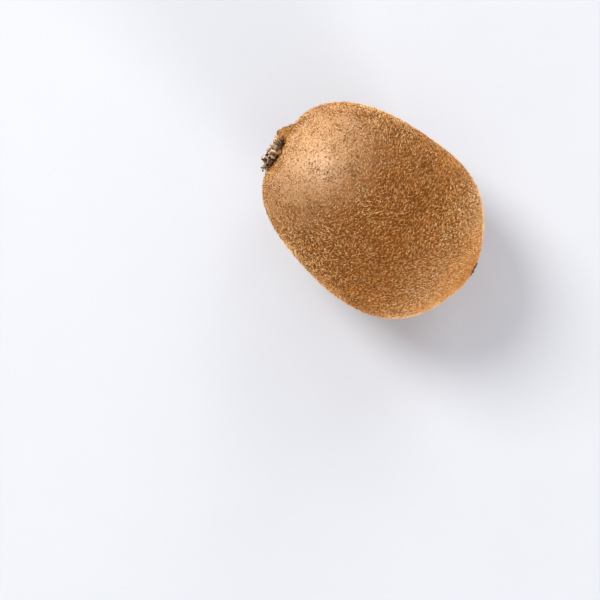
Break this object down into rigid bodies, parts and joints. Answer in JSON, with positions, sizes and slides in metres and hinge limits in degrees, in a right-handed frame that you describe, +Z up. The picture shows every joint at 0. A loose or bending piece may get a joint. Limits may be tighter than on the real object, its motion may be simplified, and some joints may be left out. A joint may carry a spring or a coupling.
{
  "type": "kiwi fruit",
  "caption": "Whole brown kiwi fruit lying on its side: hairy oval body with the withered calyx at the stalk end and dark dried styles at the blossom end.",
  "frame": {"origin": "middle of the bounding box's base, on the small flat spot that the fruit rests on", "axes": "+X from the stalk end to the blossom end, +Y across the wide diameter, +Z up through the narrow diameter"},
  "size_m": [0.0704, 0.0536, 0.0476],
  "materials": {
    "skin": "matte brown skin covered with short light tan hairs",
    "dry_calyx": "dry, woody, dull brown with orange-brown hairs",
    "dry_stamens": "dry, fibrous, dull greyish beige",
    "dry_styles": "dry, dull, almost black brown"
  },
  "bodies": {
    "root": {"fruit": "skin", "calyx": "dry_calyx", "stamens": "dry_stamens", "styles": "dry_styles"}
  },
  "joints": []
}
